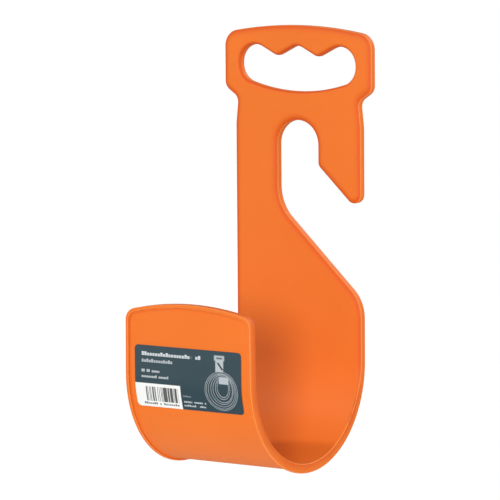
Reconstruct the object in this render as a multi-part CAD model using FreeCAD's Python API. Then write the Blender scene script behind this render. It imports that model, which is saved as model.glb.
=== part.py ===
"""Hose hanger, moulded in one piece, with a paper-thin label stuck to its front lip.

The hanger is a J-shaped strip: a flat back plate with a hand grip and a hanging slot,
a round trough that carries the coiled hose, and a lip that stops the coils at the front.
A rim runs round the whole outline on the outer side, so the back, the trough's underside
and the lip's front face are shallow trays.

Frame, in millimetres: X is to the right, Y points back to the wall, Z is up. The origin is
the centre of the slot's round top, in the plane of the rim that lies against the wall.
"""
import FreeCAD, Part
import math
import os

V = FreeCAD.Vector

# Section of the strip
rim_depth = 7.0            # from the inner face to the rim's outer edge
rim_width = 2.5
recess_depth = 2.0         # how far the rim stands out from the tray's floor
bevel_width = 6.0          # the plate's front border rolls off this far in
bevel_drop = 1.9
bevel_steps = 4

# Back plate, heights above the slot's centre
plate_width = 110.0
plate_flare_height = 14.0
plate_flare_round = 40.0
neck_width = 106.0
neck_height = 32.7
neck_round = 7.0

# Handle head
handle_width = 129.0
handle_top = 87.0
handle_crown_angle = 9.7   # slope of the crowned top edge at its corners, in degrees
handle_corner_round = 12.0
shoulder_height = 40.5
shoulder_round = 8.0

# Hand grip opening with finger scallops
grip_width = 101.2
grip_bottom = 38.7
grip_bow_angle = 16.8      # slope of the bowed lower edge at its corners, in degrees
grip_end_round = 13.5
hump_spacing = 35.4        # between the two humps that part three fingers
hump_height = 64.1
scallop_slope = 0.5
hump_round = 5.0
scallop_round = 9.0
grip_edge_round = 3.0
grip_edge_steps = 4

# Hanging slot and its slanted mouth
slot_width = 35.5
hook_corner_drop = 14.8    # from the slot's centre down to where the mouth opens
hook_corner_round = 5.5
hook_tip_round = 6.5
mouth_angle = 43.0         # below the horizontal, in degrees
mouth_gap = 46.2
throat_round = 32.0
mouth_end_round = 28.0

# Trough and lip
trough_drop = 155.8        # from the slot's centre down to the trough's centre line
trough_clear_radius = 65.7
lip_width = 108.4
lip_height = 52.1          # above the trough's centre line
lip_crown_angle = 12.3
lip_corner_round = 9.0
bevel_run_out = 40.0       # degrees of trough over which the plate's border fades

# Label on the lip
label_width = 92.4
label_height = 44.8
label_thickness = 0.2
label_glue = 0.15          # between the label and the tray's floor
label_offset = -1.0        # stuck on a little left of the middle
label_top = 21.0           # above the trough's centre line
label_corner_round = 3.0

outer_radius = trough_clear_radius + rim_depth
trough_z = -trough_drop
lip_y = -2 * outer_radius
half_plate = plate_width / 2
margin = 20.0              # how far a cutting shape runs past what it cuts
sharpest = 0.1             # share of its rounding that a corner keeps when it is moved inward


def crown(half_width, angle, corner_round):
    """Radius of an arched edge that runs from corner to corner, and how far its
    two end tangents meet beyond the arch."""
    slope = math.radians(angle)
    corner = corner_round * math.tan(math.radians(90 - angle) / 2)
    radius = (half_width / math.cos(slope) - corner) / math.tan(slope)
    return radius, radius * (1 / math.cos(slope) - 1)


def mirrored(right_side):
    """A whole outline from the corners on its right side, listed from the top down."""
    left_side = [(-x, z, r) for x, z, r in right_side if x > 0]
    return right_side + left_side[::-1]


def directions(corners):
    """Unit directions of the edges that arrive at and leave each corner."""
    points = [V(x, 0, z) for x, z, r in corners]
    leaving = [(points[(i + 1) % len(points)] - p).normalize() for i, p in enumerate(points)]
    return [(leaving[i - 1], leaving[i]) for i in range(len(points))]


def inset(corners, distance):
    """The outline moved inward by distance; the corners run clockwise seen from the front."""
    moved = []
    for (x, z, r), (into, out) in zip(corners, directions(corners)):
        side_in = V(into.z, 0, -into.x)
        side_out = V(out.z, 0, -out.x)
        shift = (side_in + side_out) * (distance / (1 + side_in.dot(side_out)))
        turn = into.x * out.z - into.z * out.x
        radius = r - distance if turn < 0 else r + distance
        moved.append((x + shift.x, z + shift.z, max(radius, r * sharpest) if r else 0.0))
    return moved


def fitted_rounds(corners):
    """Corner radii with their tangent lengths, limited to the straight between two corners."""
    reach = []
    for (x, z, r), (into, out) in zip(corners, directions(corners)):
        half_turn = into.getAngle(out) / 2
        reach.append([r * math.tan(half_turn), half_turn])
    for i in range(len(corners)):
        j = (i + 1) % len(corners)
        length = math.hypot(corners[j][0] - corners[i][0], corners[j][1] - corners[i][1])
        total = reach[i][0] + reach[j][0]
        if total > length + 1e-6:
            reach[i][0] *= 0.999 * length / total
            reach[j][0] *= 0.999 * length / total
    return reach


def outline(corners, y=0.0):
    """Closed wire through the rounded corners, in the plane at depth y."""
    rounds = []
    for (x, z, r), (into, out), (length, half_turn) in zip(
            corners, directions(corners), fitted_rounds(corners)):
        corner = V(x, y, z)
        to_centre = (out - into).normalize()
        radius = length / math.tan(half_turn)
        middle = corner + to_centre * (radius / math.cos(half_turn) - radius)
        rounds.append((corner - into * length, middle, corner + out * length))
    edges = []
    for i, (start, middle, end) in enumerate(rounds):
        following = rounds[(i + 1) % len(rounds)][0]
        if start.distanceToPoint(end) > 1e-5:
            edges.append(Part.Arc(start, middle, end).toShape())
        if end.distanceToPoint(following) > 1e-5:
            edges.append(Part.makeLine(end, following))
    return Part.Wire(edges)


def prism(corners, front, back):
    """The outline as a solid between two depths."""
    return Part.Face(outline(corners, front)).extrude(V(0, back - front, 0))


def plate_corners():
    """Handle head, neck, slot with its slanted mouth, and the plate below."""
    slope = math.tan(math.radians(mouth_angle))
    half_slot = slot_width / 2
    half_handle = handle_width / 2
    radius, rise = crown(half_handle, handle_crown_angle, handle_corner_round)
    roof = handle_top + rise
    handle_corner = roof - half_handle * math.tan(math.radians(handle_crown_angle))
    tip = -hook_corner_drop - slope * (half_plate - half_slot)
    mouth_height = mouth_gap / math.cos(math.radians(mouth_angle))
    throat = -hook_corner_drop - mouth_height + slope * slot_width
    side = [(half_handle, handle_corner, handle_corner_round),
            (half_handle, shoulder_height, shoulder_round),
            (neck_width / 2, neck_height, neck_round),
            (half_plate, plate_flare_height, plate_flare_round)]
    slot = [(half_plate, tip, hook_tip_round),
            (half_slot, -hook_corner_drop, hook_corner_round),
            (half_slot, half_slot, half_slot),
            (-half_slot, half_slot, half_slot),
            (-half_slot, throat, throat_round),
            (half_plate, tip - mouth_height, mouth_end_round)]
    foot = [(half_plate, trough_z - margin, 0), (-half_plate, trough_z - margin, 0)]
    left = [(-x, z, r) for x, z, r in reversed(side)]
    return [(0, roof, radius)] + side + slot + foot + left


def grip_corners():
    """Hand opening: three scallops above, a bowed edge below."""
    half_grip = grip_width / 2
    hump = hump_spacing / 2
    radius, rise = crown(half_grip, grip_bow_angle, grip_end_round)
    bow = grip_bottom - rise
    return mirrored([(0, hump_height + hump * scallop_slope, scallop_round),
                     (hump, hump_height, hump_round),
                     (half_grip, hump_height + (half_grip - hump) * scallop_slope, grip_end_round),
                     (half_grip, bow + half_grip * math.tan(math.radians(grip_bow_angle)), grip_end_round),
                     (0, bow, radius)])


def lip_corners():
    """Front view of the lip: crowned top, sides that widen into the trough."""
    half_lip = lip_width / 2
    radius, rise = crown(half_lip, lip_crown_angle, lip_corner_round)
    roof = trough_z + lip_height + rise
    corner = roof - half_lip * math.tan(math.radians(lip_crown_angle))
    return mirrored([(0, roof, radius),
                     (half_lip, corner, lip_corner_round),
                     (half_plate, trough_z - trough_clear_radius, 0),
                     (half_plate, trough_z - outer_radius - margin, 0)])


def strip(near, far, half_width):
    """The trough and lip as a bent strip between two depths below the outer surface."""
    top = trough_z + lip_height + margin
    sides = []
    for depth in (near, far):
        radius = outer_radius - depth
        back = V(-half_width, -depth, trough_z)
        front = V(-half_width, lip_y + depth, trough_z)
        bottom = V(-half_width, -outer_radius, trough_z - radius)
        lip_end = V(-half_width, lip_y + depth, top)
        sides.append((back, bottom, front, lip_end))
    (b1, m1, f1, e1), (b2, m2, f2, e2) = sides
    edges = [Part.Arc(b1, m1, f1).toShape(), Part.makeLine(f1, e1), Part.makeLine(e1, e2),
             Part.makeLine(e2, f2), Part.Arc(f2, m2, b2).toShape(), Part.makeLine(b2, b1)]
    return Part.Face(Part.Wire(edges)).extrude(V(2 * half_width, 0, 0))


def front_and_back(distance):
    """Space that the trough and lip fill, seen from the front, moved in by distance."""
    half_width = half_plate - distance
    lip = prism(inset(lip_corners(), distance), lip_y - margin, -outer_radius)
    trough = Part.makeBox(2 * half_width, outer_radius + margin, outer_radius + margin,
                          V(-half_width, -outer_radius, trough_z - outer_radius - margin))
    return lip.fuse(trough)


def bevel_profile(scale=1.0):
    """Inset and height of the rolled border, from the side wall's corner to the flat."""
    radius = (bevel_width ** 2 + bevel_drop ** 2) / (2 * bevel_drop)
    full = math.asin(bevel_width / radius)
    points = []
    for step in range(bevel_steps + 1):
        angle = full * (1 - step / bevel_steps)
        points.append((scale * (bevel_width - radius * math.sin(angle)),
                       scale * (bevel_drop - radius * (1 - math.cos(angle)))))
    return points


def grip_cutter():
    """The hand opening, with its front edge rounded for the fingers."""
    corners = grip_corners()
    wires = []
    for step in range(grip_edge_steps + 1):
        angle = math.radians(90) * step / grip_edge_steps
        edge = grip_edge_round * (1 - math.cos(angle))
        height = rim_depth - grip_edge_round * (1 - math.sin(angle))
        wires.append(outline(inset(corners, -edge), -height))
    wires.append(outline(inset(corners, -grip_edge_round), -rim_depth - 1))
    return prism(corners, grip_edge_round - rim_depth, margin).fuse(Part.makeLoft(wires, True, True))


def plate():
    """Flat plate with its rolled front border, down to the trough's centre line."""
    corners = plate_corners()
    side_depth = rim_depth - bevel_drop
    body = prism(corners, -side_depth, 0)
    wires = [outline(inset(corners, edge), -side_depth - height) for edge, height in bevel_profile()]
    body = body.fuse(Part.makeLoft(wires, True, True))
    below = Part.makeBox(plate_width + 2 * margin, rim_depth + 2 * margin, 2 * margin,
                         V(-half_plate - margin, -rim_depth - margin, trough_z - 2 * margin))
    return body.cut(below).cut(grip_cutter())


def bevel_fade(side):
    """What the border takes off the trough's edge, fading out along the curve."""
    wires = []
    steps = 6
    for step in range(-1, steps + 1):
        share = max(step, 0) / steps
        angle = math.radians(bevel_run_out) * share
        scale = 0.98 if step < 0 else 1 - 0.97 * share
        across = [(half_plate - edge, height - scale * bevel_drop)
                  for edge, height in bevel_profile(scale)]
        across = [(half_plate + 1, across[0][1] - 0.35 * scale)] + across
        across += [(across[-1][0], 1.0), (half_plate + 1, 1.0)]
        points = []
        for x, height in across:
            radius = trough_clear_radius - height
            z = trough_z - radius * math.sin(angle) + (1.0 if step < 0 else 0.0)
            points.append(V(side * x, -outer_radius + radius * math.cos(angle), z))
        wires.append(Part.makePolygon(points + points[:1]))
    return Part.makeLoft(wires, True, True)


def recess():
    """Tray on the outer side, inside the rim."""
    plate_tray = prism(inset(plate_corners(), rim_width), -recess_depth, margin)
    below = Part.makeBox(plate_width + 2 * margin, 3 * margin, 2 * margin,
                         V(-half_plate - margin, -2 * margin, trough_z - 2 * margin))
    plate_tray = plate_tray.cut(below)
    plate_tray = plate_tray.cut(prism(inset(grip_corners(), -rim_width), -margin, 2 * margin))
    bent_tray = strip(-1.0, recess_depth, half_plate).common(front_and_back(rim_width))
    return plate_tray, bent_tray


def hanger():
    bent = strip(0.0, rim_depth, half_plate).common(front_and_back(0.0))
    body = plate().fuse(bent).removeSplitter()
    for side in (-1, 1):
        body = body.cut(bevel_fade(side))
    for tray in recess():
        body = body.cut(tray)
    return body


def label():
    """Label on the tray's floor, flat on the lip and wrapped a little round the trough."""
    back = recess_depth - label_glue
    radius = outer_radius - back
    wrap = (label_height - label_top) / radius
    bottom = trough_z - radius * math.sin(wrap)
    left = label_offset - label_width / 2
    right = label_offset + label_width / 2
    top = trough_z + label_top
    corners = [(right, top, label_corner_round), (right, bottom, label_corner_round),
               (left, bottom, label_corner_round), (left, top, label_corner_round)]
    sheet = strip(back - label_thickness, back, half_plate)
    return sheet.common(prism(corners, lip_y - margin, -outer_radius))


def export(name, shape):
    solid = shape.Solids[0]
    print(name, "solids", len(shape.Solids), "valid", solid.isValid(),
          "volume cm3", round(solid.Volume / 1000, 2))
    solid.exportStep(os.path.join("parts", name + ".step"))


os.makedirs("parts", exist_ok=True)
export("hanger", hanger())
export("label", label())
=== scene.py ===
# %% [markdown]
# # A moulded hose hanger
# This lesson dresses a finished part: an orange plastic hanger that hooks over a peg or a
# rail and carries a coiled garden hose. Its shape was settled in CAD. Blender gives it
# softened edges, the plastic's finish, a printed label and the light of a plain studio.
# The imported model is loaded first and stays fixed, so every piece that is added later can
# trust its millimetres.

# %% Load the fixed model
import math

import bmesh
import bpy
from mathutils import Matrix, Vector


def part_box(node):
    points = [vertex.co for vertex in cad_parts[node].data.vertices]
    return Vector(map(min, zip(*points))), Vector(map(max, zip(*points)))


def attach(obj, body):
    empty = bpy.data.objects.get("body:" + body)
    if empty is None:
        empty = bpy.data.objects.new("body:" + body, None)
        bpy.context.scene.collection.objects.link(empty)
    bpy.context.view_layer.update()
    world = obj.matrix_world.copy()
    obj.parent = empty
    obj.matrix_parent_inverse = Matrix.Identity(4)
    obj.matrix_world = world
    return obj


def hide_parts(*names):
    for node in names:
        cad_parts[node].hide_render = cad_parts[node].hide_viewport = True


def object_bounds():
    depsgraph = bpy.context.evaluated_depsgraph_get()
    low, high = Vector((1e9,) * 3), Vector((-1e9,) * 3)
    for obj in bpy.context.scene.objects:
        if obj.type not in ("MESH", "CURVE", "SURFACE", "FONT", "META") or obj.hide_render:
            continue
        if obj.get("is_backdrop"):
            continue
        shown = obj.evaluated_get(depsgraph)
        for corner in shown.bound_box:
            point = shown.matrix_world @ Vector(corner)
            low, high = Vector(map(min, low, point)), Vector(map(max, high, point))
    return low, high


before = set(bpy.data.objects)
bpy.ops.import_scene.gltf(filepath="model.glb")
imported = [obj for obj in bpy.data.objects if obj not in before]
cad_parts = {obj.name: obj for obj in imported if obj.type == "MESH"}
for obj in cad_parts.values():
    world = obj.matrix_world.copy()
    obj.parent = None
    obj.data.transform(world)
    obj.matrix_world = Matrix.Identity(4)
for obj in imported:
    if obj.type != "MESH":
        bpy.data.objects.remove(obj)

millimetre = 0.001
cad_low, cad_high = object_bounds()


def in_millimetres(lengths):
    return [round(length / millimetre, 1) for length in lengths]


print("CAD box in mm:", in_millimetres((*cad_low, *cad_high)))

# %% [markdown]
# ## The camera
# The photograph was taken from far away with a long lens, from the hanger's front right
# and a little above. A long lens keeps parallel edges nearly parallel, which is why the
# plate looks so upright. The place and the angles below come from a fit of the CAD
# outline to the picture, so the camera is built from its three directions rather than
# aimed at a target.

# %% Set the camera where the photographer stood
turn = math.radians(35.0)
height_angle = math.radians(6.230)
roll = math.radians(-0.410)
camera_place = Vector((1.63257, -2.39862, 0.23882))

forward = Vector((-math.sin(turn) * math.cos(height_angle),
                  math.cos(turn) * math.cos(height_angle),
                  -math.sin(height_angle)))
level_right = Vector((math.cos(turn), math.sin(turn), 0.0))
level_up = level_right.cross(forward)
right = level_right * math.cos(roll) + level_up * math.sin(roll)
up = level_up * math.cos(roll) - level_right * math.sin(roll)

camera_data = bpy.data.cameras.new("studio_camera")
camera_data.lens = 286.35
camera_data.sensor_width = 36.0
camera_data.clip_start = 0.1
camera_data.clip_end = 60.0
camera = bpy.data.objects.new("studio_camera", camera_data)
bpy.context.scene.collection.objects.link(camera)
camera_axes = Matrix((right, up, -forward)).transposed().to_4x4()
camera.matrix_world = Matrix.Translation(camera_place) @ camera_axes
bpy.context.scene.camera = camera
print("camera stands", round(camera_place.length, 2), "m from the slot")

# %% [markdown]
# ## Shader maths in plain Python
# Finishes are built from nodes. Linking them by hand hides the idea behind many lines, so
# one small class wraps a node's output and lets Python's own + - * / add the Math nodes.
# A second one holds a material and makes any other node in a single call: its kind, its
# settings, and what goes into its sockets.


# %% A node's output that can be calculated with
class Signal:
    def __init__(self, finish, socket):
        self.finish = finish
        self.socket = socket

    def math(self, operation, *values):
        given = dict(enumerate(values))
        return self.finish.node("ShaderNodeMath", given, operation=operation)

    def __add__(self, other):
        return self.math("ADD", self, other)

    def __sub__(self, other):
        return self.math("SUBTRACT", self, other)

    def __rsub__(self, other):
        return self.math("SUBTRACT", other, self)

    def __mul__(self, other):
        return self.math("MULTIPLY", self, other)

    def __truediv__(self, other):
        return self.math("DIVIDE", self, other)

    def __rtruediv__(self, other):
        return self.math("DIVIDE", other, self)

    __radd__ = __add__
    __rmul__ = __mul__

    def floor(self):
        return self.math("FLOOR", self)

    def fraction(self):
        return self.math("FRACT", self)

    def root(self):
        return self.math("SQRT", self)

    def or_else(self, other):
        """The greater of two, which lays one printed shape over another."""
        return self.math("MAXIMUM", self, other)

    def above(self, edge, softness):
        """1 where the value is over the edge, 0 where it is under, with a soft step."""
        span = {"Value": self, "From Min": edge - softness, "From Max": edge + softness}
        return self.finish.node("ShaderNodeMapRange", span, clamp=True)

    def between(self, low, high, softness):
        return self.above(low, softness) * (1 - self.above(high, softness))


# %% A material and its one way to make a node
class Finish:
    def __init__(self, name):
        self.material = bpy.data.materials.new(name)
        self.material.use_nodes = True
        self.tree = self.material.node_tree
        self.shader = self.tree.nodes["Principled BSDF"]

    def node(self, kind, sockets=None, output=0, **settings):
        made = self.tree.nodes.new(kind)
        for name, value in settings.items():
            setattr(made, name, value)
        for name, value in (sockets or {}).items():
            self.feed(made.inputs[name], value)
        return Signal(self, made.outputs[output])

    def feed(self, socket, value):
        if isinstance(value, Signal):
            self.tree.links.new(value.socket, socket)
        else:
            socket.default_value = value

    def mix(self, share, first, second):
        """A colour between two. The node keeps its two colours in sockets 6 and 7."""
        sockets = {"Factor": share, 6: first, 7: second}
        return self.node("ShaderNodeMix", sockets, output=2, data_type="RGBA")

    def noise(self, place, scale, detail=2.0):
        sockets = {"Vector": place, "Scale": scale, "Detail": detail}
        return self.node("ShaderNodeTexNoise", sockets)

    def place(self):
        return self.node("ShaderNodeTexCoord", output="Object")

    def bump(self, height, distance):
        sockets = {"Height": height, "Distance": distance, "Strength": 1.0}
        return self.node("ShaderNodeBump", sockets)

    def surface(self, **sockets):
        for name, value in sockets.items():
            self.feed(self.shader.inputs[name.replace("_", " ")], value)


print("shader helpers are ready")

# %% [markdown]
# ## The hanger's body
# The real hanger leaves a steel mould whose corners are never quite sharp. Edges without
# any rounding look like paper, because only a rounded edge catches a line of light. The
# CAD solid has the right faces, so a copy of it is the start: its loose triangles are
# merged, flat neighbours are joined back into whole faces, and every sharp edge then gets
# a small bevel. Edges that stand out are rounded more than the inner corner at the rim's
# foot. A remesh or a subdivision would also round the edges, but would smear the flat
# faces.

# %% Copy the solid and join its triangles
touching = 0.001 * millimetre
flat_within = math.radians(0.3)

body = bmesh.new()
body.from_mesh(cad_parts["hanger"].data)
border_layer = body.verts.layers.float.new("border")
crest_layer = body.verts.layers.float.new("crest")
rounded_layer = body.faces.layers.int.new("rounded")
bmesh.ops.remove_doubles(body, verts=body.verts[:], dist=touching)
bmesh.ops.dissolve_limit(body, angle_limit=flat_within,
                         verts=body.verts[:], edges=body.edges[:])
print("faces after joining:", len(body.faces))

# %% Say how deep a point lies in the strip
hanger_low, hanger_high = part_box("hanger")
strip_depth = 7.0 * millimetre
tray_depth = 2.0 * millimetre
outer_radius = (hanger_high.y - hanger_low.y) / 2
trough_line = hanger_low.z + outer_radius
half_width = max(vertex.co.x for vertex in body.verts if vertex.co.z < trough_line)


def depth_in_strip(point):
    """From 0 on the outer rim to the strip's full depth on the side that holds the hose."""
    if point.z < trough_line:
        return outer_radius - math.hypot(point.y + outer_radius, point.z - trough_line)
    return -point.y if point.y > -outer_radius else point.y + 2 * outer_radius


print("the trough's line lies at", round(trough_line / millimetre, 1), "mm")

# %% Round the edges
sharp_from = math.radians(28)
rim_reaches = 1.1 * tray_depth
foot_rounding = 0.4 * millimetre
edge_rounding = 0.8 * millimetre


def sharp_edges(on_rim, standing_out):
    found = []
    for edge in body.edges:
        turned = edge.calc_face_angle_signed()
        is_sharp = abs(turned) > sharp_from and (turned > 0) == standing_out
        deepest = max(depth_in_strip(vertex.co) for vertex in edge.verts)
        if is_sharp and (deepest < rim_reaches) == on_rim:
            found.append(edge)
    return found


def round_edges(edges, rounding, segments, is_crest):
    rounded = bmesh.ops.bevel(body, geom=edges, offset=rounding, offset_type="OFFSET",
                              affect="EDGES", segments=segments, profile=0.5, material=-1,
                              clamp_overlap=False)
    for face in rounded["faces"]:
        face[rounded_layer] = is_crest
    print("rounded", len(edges), "edges by", round(rounding / millimetre, 2), "mm")


rim_foot = sharp_edges(on_rim=True, standing_out=False)
round_edges(rim_foot, foot_rounding, segments=2, is_crest=False)
for on_rim in (True, False):
    standing_edges = sharp_edges(on_rim, standing_out=True)
    round_edges(standing_edges, edge_rounding, segments=3, is_crest=True)
print("faces now:", len(body.faces))

# %% [markdown]
# Where the rolled border fades out in the trough, its last strips are narrower than the
# rounding, so a few new corner points land just outside the moulding. They are found by
# their depth and their distance from the middle, and moved back onto its surface.

# %% Move stray corner points back
allowed_excess = 0.01 * millimetre
merged_within = 0.05 * millimetre
strays = 0
for vertex in body.verts:
    if vertex.co.z > trough_line:
        continue
    too_deep = depth_in_strip(vertex.co) - strip_depth
    if too_deep > allowed_excess:
        from_axis = Vector((0, vertex.co.y + outer_radius, vertex.co.z - trough_line))
        vertex.co += from_axis.normalized() * too_deep
        strays += 1
    if abs(vertex.co.x) > half_width:
        vertex.co.x = math.copysign(half_width, vertex.co.x)
        strays += 1
bmesh.ops.remove_doubles(body, verts=body.verts[:], dist=merged_within)
bmesh.ops.dissolve_degenerate(body, edges=body.edges[:], dist=allowed_excess)
print("points moved back:", strays)

# %% [markdown]
# The rolled border round the plate gets a deeper orange than the flat fields. This is
# painted shade where the roll turns away from the light, and the side walls are as light as
# the fields.
# Every edge that stands out gets a thin, paler line, a painted highlight along its rounding.
# The finish has to know which is which, so two numbers are stored on each corner point. The
# border number rises from 0 on the field to 1 on the roll, and falls back to 0 past its
# outer edge. The crest number is 1 only where every face round the point belongs to the
# rounding of an edge that stands out.

# %% Mark the rolled border and the crests
border_drop = 1.9 * millimetre
border_rise = 1.0 * millimetre
border_margin = 0.1 * millimetre
for vertex in body.verts:
    below_field = strip_depth - depth_in_strip(vertex.co)
    on_roll = below_field < border_drop + border_margin
    vertex[border_layer] = min(below_field / border_rise, 1.0) if on_roll else 0.0
    on_crest = all(face[rounded_layer] for face in vertex.link_faces)
    vertex[crest_layer] = 1.0 if on_crest else 0.0
for face in body.faces:
    face.smooth = True
print("points on the crests:", sum(vertex[crest_layer] > 0 for vertex in body.verts))

# %% Make the body an object
hanger_mesh = bpy.data.meshes.new("hanger_body")
body.to_mesh(hanger_mesh)
body.free()
hanger = bpy.data.objects.new("hanger_body", hanger_mesh)
bpy.context.scene.collection.objects.link(hanger)
even_shading = hanger.modifiers.new("even_shading", "WEIGHTED_NORMAL")
even_shading.weight = 100
print("body mesh:", len(hanger_mesh.vertices), "vertices")

# %% [markdown]
# ## Orange satin plastic
# Moulded polypropylene is one colour all through, but never looks flat: it clouds a
# little where the melt cooled at different speeds, and the mould's dull texture scatters
# light. Both are procedural here. Slow noise shifts the colour by a few percent and the
# roughness a little, and fine noise of about half a millimetre drives the bump.

# %% Mix the plastic
plastic = Finish("orange_plastic")
where = plastic.place()
border = plastic.node("ShaderNodeAttribute", output="Fac", attribute_name="border")
crest = plastic.node("ShaderNodeAttribute", output="Fac", attribute_name="crest")
clouds = plastic.noise(where, scale=18.0).above(0.5, softness=0.2)
dull = plastic.noise(where, scale=60.0)
grain = plastic.noise(where, scale=2200.0, detail=1.0)

deep_orange = (0.820, 0.170, 0.014, 1)
light_orange = (0.845, 0.180, 0.017, 1)
# Painted shade: a deeper orange for the rolled border, where the roll turns away from the
# light.
border_shade_orange = (0.740, 0.100, 0.004, 1)
# Painted highlight: a paler orange for the crests of edges that stand out.
crest_highlight_orange = (0.940, 0.310, 0.070, 1)
field_colour = plastic.mix(clouds, deep_orange, light_orange)
# This mix lays the painted shade over the roll.
colour_with_border_shade = plastic.mix(border, field_colour, border_shade_orange)
# The Base Color below lays the painted highlight over the crests.
plastic.surface(
    Base_Color=plastic.mix(crest * 0.55, colour_with_border_shade, crest_highlight_orange),
    Roughness=0.48 + dull * 0.08 + border * 0.06 - crest * 0.12,
    Specular_IOR_Level=0.3,
    Normal=plastic.bump(grain * (1 - border * 0.7), 0.02 * millimetre),
    IOR=1.49,
)
hanger_mesh.materials.clear()
hanger_mesh.materials.append(plastic.material)
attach(hanger, "root")
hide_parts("hanger")
print("plastic nodes:", len(plastic.tree.nodes))

# %% [markdown]
# ## The label
# A printed film is stuck to the lip and follows it down into the curve. Film bends but
# doesn't stretch, so it is made flat at its real size, gets its print coordinates while
# it is flat, and is bent last: below the line where the trough begins, the distance along
# the film becomes an angle round the trough's centre.

# %% Cut the film flat
film_low, film_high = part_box("label")
film_width = film_high.x - film_low.x
film_thickness = 0.2 * millimetre
film_corner = 3.0 * millimetre
film_radius = -outer_radius - film_low.y
flat_part = film_high.z - trough_line
bent_part = film_radius * math.asin((trough_line - film_low.z) / film_radius)
film_height = flat_part + bent_part

film = bmesh.new()
bmesh.ops.create_grid(film, x_segments=1, y_segments=1, size=0.5)
bmesh.ops.scale(film, verts=film.verts[:], vec=(film_width, film_height, 1))
bmesh.ops.translate(film, verts=film.verts[:], vec=(film_width / 2, -film_height / 2, 0))
bmesh.ops.bevel(film, geom=film.verts[:], offset=film_corner, offset_type="OFFSET",
                affect="VERTICES", segments=8, profile=0.5, material=-1)
print("flat film in mm:", in_millimetres((film_width, film_height)))

# %% Crease lines across the film, so that it can bend
crease_step = 1.5 * millimetre
crease_snap = 0.1 * touching
for step in range(int(bent_part / crease_step) + 1):
    line = Vector((0, -flat_part - step * crease_step, 0))
    everything = film.verts[:] + film.edges[:] + film.faces[:]
    bmesh.ops.bisect_plane(film, geom=everything, dist=crease_snap,
                           plane_co=line, plane_no=(0, 1, 0))
bmesh.ops.recalc_face_normals(film, faces=film.faces[:])
if film.faces[0].normal.z < 0:
    bmesh.ops.reverse_faces(film, faces=film.faces[:])
print("strips of film:", len(film.faces))

# %% Give it print coordinates, thickness and its bend
print_map = film.loops.layers.uv.new("print_map")
for face in film.faces:
    for loop in face.loops:
        loop[print_map].uv = (loop.vert.co.x / film_width, 1 + loop.vert.co.y / film_width)
bmesh.ops.solidify(film, geom=film.faces[:], thickness=film_thickness)
for vertex in film.verts:
    sideways, along, out = vertex.co.x, -vertex.co.y, vertex.co.z
    radius = film_radius + min(out, 0.0)
    angle = max(along - flat_part, 0.0) / film_radius
    lowered = min(along, flat_part)
    vertex.co = (film_low.x + sideways,
                 -outer_radius - radius * math.cos(angle),
                 film_high.z - lowered - radius * math.sin(angle))
bmesh.ops.recalc_face_normals(film, faces=film.faces[:])
if film.calc_volume(signed=True) < 0:
    bmesh.ops.reverse_faces(film, faces=film.faces[:])

film_mesh = bpy.data.meshes.new("label_film")
film.to_mesh(film_mesh)
film.free()
label = bpy.data.objects.new("label_film", film_mesh)
bpy.context.scene.collection.objects.link(label)
print("film box in mm:", in_millimetres((*label.bound_box[0], *label.bound_box[6])))

# %% [markdown]
# ## The print
# The print is drawn by maths on the film's own map, in millimetres from its upper left
# corner. A rectangle is a soft band across times a soft band down. A line of print is a
# row of small marks with random heights and gaps. The code's bars come from the same idea,
# because a chance drawn anew for every narrow column gives bars and gaps of mixed widths.
# A drawing is made of such rectangles and of rings, laid over each other.

# %% Set up the film's millimetres
ink = Finish("label_print")
print_width = film_width / millimetre
on_map = ink.node("ShaderNodeUVMap", uv_map="print_map")
map_across = ink.node("ShaderNodeSeparateXYZ", {"Vector": on_map})
map_up = Signal(ink, map_across.socket.node.outputs["Y"])
across = map_across * print_width
down = (1 - map_up) * print_width


def box(left, right_edge, top, bottom, softness=0.12):
    return across.between(left, right_edge, softness) * down.between(top, bottom, softness)


def chance_per_column(left, column_width, seed):
    column = ((across - left) / column_width).floor()
    return ink.node("ShaderNodeTexWhiteNoise", {"W": column + seed}, noise_dimensions="1D")


def overlaid(shapes):
    together, *others = shapes
    for shape in others:
        together = together.or_else(shape)
    return together


print("the film is", round(print_width, 1), "mm wide on its map")


# %% Rows of small marks
def marks(left, right_edge, top, bottom, mark_width, strength=1.0):
    """A row of marks: one in eight is a gap, one in three is tall, and all are hollow."""
    chance = chance_per_column(left, mark_width, seed=top)
    is_there = chance.above(0.12, 0.01)
    is_tall = chance.above(0.7, 0.01)
    share = ((across - left) / mark_width).fraction()
    low_top = top + 0.3 * (bottom - top)
    hollow = share.between(0.34, 0.60, 0.08) * down.between(low_top + 0.4, bottom - 0.4, 0.2)
    mark = is_tall.or_else(down.above(low_top, 0.15)) * share.between(0.06, 0.86, 0.06)
    row = box(left, right_edge, top, bottom)
    return mark * (1 - hollow * 0.5) * row * is_there * strength


rows = overlaid([
    marks(6.0, 59.1, 4.6, 7.3, mark_width=2.35),
    marks(5.9, 32.9, 9.7, 12.1, mark_width=2.1, strength=0.7),
    marks(5.8, 21.6, 17.2, 19.2, mark_width=1.5, strength=0.8),
    marks(5.8, 29.3, 21.3, 23.2, mark_width=1.5, strength=0.8),
    marks(41.4, 61.7, 37.7, 39.3, mark_width=1.5, strength=0.8),
    marks(41.1, 60.0, 40.8, 42.2, mark_width=1.5, strength=0.8),
    marks(41.3, 48.1, 33.8, 35.1, mark_width=1.2, strength=0.35),
])
print("print nodes so far:", len(ink.tree.nodes))

# %% The white panel with its bars
white_panel = box(-1, 39.4, 27.3, 50)
bars = chance_per_column(7.9, column_width=0.50, seed=40.0).above(0.40, 0.01)
bars = bars * box(7.9, 37.2, 29.6, 40.4)
row_under_bars = marks(4.4, 37.0, 41.3, 42.9, mark_width=1.7)
print("print nodes with the bars:", len(ink.tree.nodes))


# %% A drawing of coiled rings
def ring(centre_across, centre_down, radius_across, radius_down, line_width=0.45):
    aside = (across - centre_across) / radius_across
    below = (down - centre_down) / radius_down
    reach = (aside * aside + below * below).root()
    line = line_width / radius_across / 2
    return reach.between(1 - line, 1 + line, line / 2)


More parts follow.
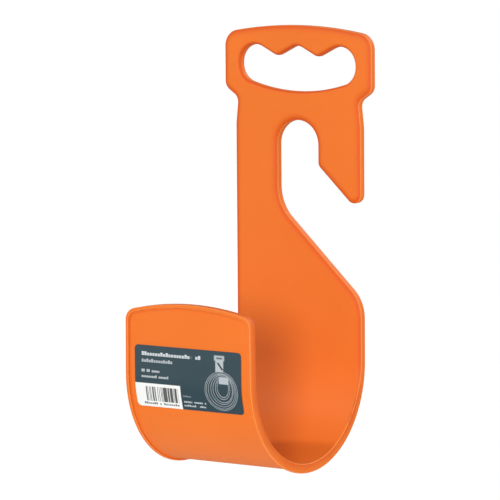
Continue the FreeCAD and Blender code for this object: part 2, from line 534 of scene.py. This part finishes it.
rings = overlaid([ring(*place_and_size) for place_and_size in (
    (75.0, 28.6, 14.0, 14.0), (75.0, 28.6, 12.8, 12.9), (75.4, 28.0, 11.4, 11.8),
    (75.8, 27.4, 9.6, 10.6), (76.4, 27.2, 8.3, 9.4), (76.4, 26.4, 6.2, 7.9),
    (76.6, 25.8, 4.9, 6.9))])
worn = ink.noise(ink.place(), scale=900.0).above(0.42, softness=0.2)
rings = rings * (0.25 + worn * 0.35)
print("print nodes with the rings:", len(ink.tree.nodes))

# %% A small drawing of a hanger over the rings
head = box(69.4, 78.0, 3.2, 6.8, softness=0.5)
neck = box(70.4, 77.2, 5.5, 14.8, softness=0.2)
grip_hole = box(71.2, 76.4, 4.4, 5.7, softness=0.3)
slanted = (across - 73.2) * 1.2 - (down - 8.4)
peg_slot = slanted.between(-1.9, 0.3, 0.25) * down.between(8.2, 13.4, 0.2)
trough_panel = box(73.4, 81.5, 18.3, 23.2, softness=0.2)
plate = head.or_else(neck) * (1 - grip_hole * 0.8) * (1 - peg_slot)
drawing = plate.or_else(trough_panel) * 0.68
print("print nodes in all:", len(ink.tree.nodes))

# %% Print it on slate-grey film
slate = (0.017, 0.046, 0.061, 1)
chalk = (0.66, 0.71, 0.74, 1)
panel_white = (0.86, 0.87, 0.84, 1)
bar_black = (0.03, 0.03, 0.035, 1)

colour = ink.mix(overlaid([rows, rings, drawing]), slate, chalk)
colour = ink.mix(white_panel, colour, panel_white)
colour = ink.mix(bars.or_else(row_under_bars) * 0.92, colour, bar_black)
film_place = ink.place()
ink.surface(
    Base_Color=colour,
    Roughness=0.30 + ink.noise(film_place, scale=90.0) * 0.12,
    Normal=ink.bump(ink.noise(film_place, scale=350.0), 0.01 * millimetre),
    IOR=1.5,
)
film_mesh.materials.append(ink.material)
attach(label, "root")
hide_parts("label")
print("label nodes:", len(ink.tree.nodes))

# %% [markdown]
# ## Floor and backdrop
# The photograph is a cut-out on white. The hanger hangs on something in use, so the floor
# lies well below it. What the camera sees directly is plain white, while the light that
# reaches the object from the floor stays that of a pale grey studio, because white from
# more light would wash the orange out.

# %% Lay the floor
floor_drop = 1.2
floor_half_side = 12.0
floor_grey = (0.60, 0.60, 0.60, 1)
lifts_grey_to_white = 0.75

floor_shape = bmesh.new()
bmesh.ops.create_grid(floor_shape, x_segments=1, y_segments=1, size=floor_half_side)
bmesh.ops.translate(floor_shape, verts=floor_shape.verts[:],
                    vec=(0, 0, cad_low.z - floor_drop))
floor_mesh = bpy.data.meshes.new("studio_floor")
floor_shape.to_mesh(floor_mesh)
floor_shape.free()
floor = bpy.data.objects.new("studio_floor", floor_mesh)
bpy.context.scene.collection.objects.link(floor)

ground = Finish("studio_ground")
seen_directly = ground.node("ShaderNodeLightPath", output="Is Camera Ray")
ground.surface(Base_Color=floor_grey, Roughness=0.9, Emission_Color=(1, 1, 1, 1),
               Emission_Strength=seen_directly * lifts_grey_to_white)
floor_mesh.materials.append(ground.material)
floor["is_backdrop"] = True
print("the floor lies", floor_drop, "m below the hanger")

# %% White behind, soft grey light around
white = (1, 1, 1, 1)
light_around = 0.42

world = bpy.data.worlds.new("studio")
world.use_nodes = True
bpy.context.scene.world = world
sky = world.node_tree
behind = sky.nodes["Background"]
around = sky.nodes.new("ShaderNodeBackground")
chooser = sky.nodes.new("ShaderNodeMixShader")
rays = sky.nodes.new("ShaderNodeLightPath")
for background, strength in ((behind, 1.0), (around, light_around)):
    background.inputs["Color"].default_value = white
    background.inputs["Strength"].default_value = strength
sky.links.new(rays.outputs["Is Camera Ray"], chooser.inputs["Fac"])
sky.links.new(around.outputs["Background"], chooser.inputs[1])
sky.links.new(behind.outputs["Background"], chooser.inputs[2])
sky.links.new(chooser.outputs["Shader"], sky.nodes["World Output"].inputs["Surface"])
print("sky nodes:", len(sky.nodes))

# %% [markdown]
# ## Studio lamps
# The shadows in the photograph tell where its lamps stood. A crisp one fills the trough's
# floor up to a nearly level line, so a small lamp shines over the lip from the left, 42
# degrees up. A soft one lies on the plate behind the lip's right edge, so a broad lamp
# stands close to the camera. The trough's underside is nearly as bright as the fields,
# which asks for light from below, and the side walls ask for a pale surface on the right.
# A faint one on the left opens the shadows, and one behind keeps the back readable. A
# lamp's level is how bright it makes a white card that faces it.

# %% Hang the lamps
middle_of_hanger = Vector((0, -0.07, -0.07))


def soft_lamp(name, turned, raised, size, level, distance=2.5):
    turned, raised = math.radians(turned), math.radians(raised)
    towards = Vector((math.sin(turned) * math.cos(raised),
                      -math.cos(turned) * math.cos(raised), math.sin(raised)))
    lamp_data = bpy.data.lights.new(name, "AREA")
    lamp_data.shape = "DISK"
    lamp_data.size = size
    lamp_data.energy = level * (math.pi * distance) ** 2
    lamp = bpy.data.objects.new(name, lamp_data)
    lamp.location = middle_of_hanger + towards * distance
    lamp.rotation_euler = towards.to_track_quat("Z", "Y").to_euler()
    bpy.context.scene.collection.objects.link(lamp)
    print(name, "gives", round(lamp_data.energy, 1), "W")


soft_lamp("lamp_over_the_lip", turned=-27, raised=42.5, size=0.12, level=0.25)
soft_lamp("lamp_by_the_camera", turned=25, raised=8, size=0.7, level=0.50)
soft_lamp("lamp_from_below", turned=0, raised=-80, size=0.5, level=0.29, distance=1.0)
soft_lamp("pale_left_wall", turned=-46, raised=-5, size=1.2, level=0.08)
soft_lamp("pale_right_wall", turned=100, raised=5, size=1.5, level=0.37)
soft_lamp("pale_back_wall", turned=165, raised=35, size=1.5, level=0.26)
bpy.context.scene.view_settings.view_transform = "Standard"

# %% [markdown]
# ## The two boxes
# The visual model is meant to keep the size of the CAD box. Its box is printed here, as the
# CAD box was near the start.

# %% Print the two boxes and finish
new_low, new_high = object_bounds()
print("visual box in mm:", in_millimetres((*new_low, *new_high)))
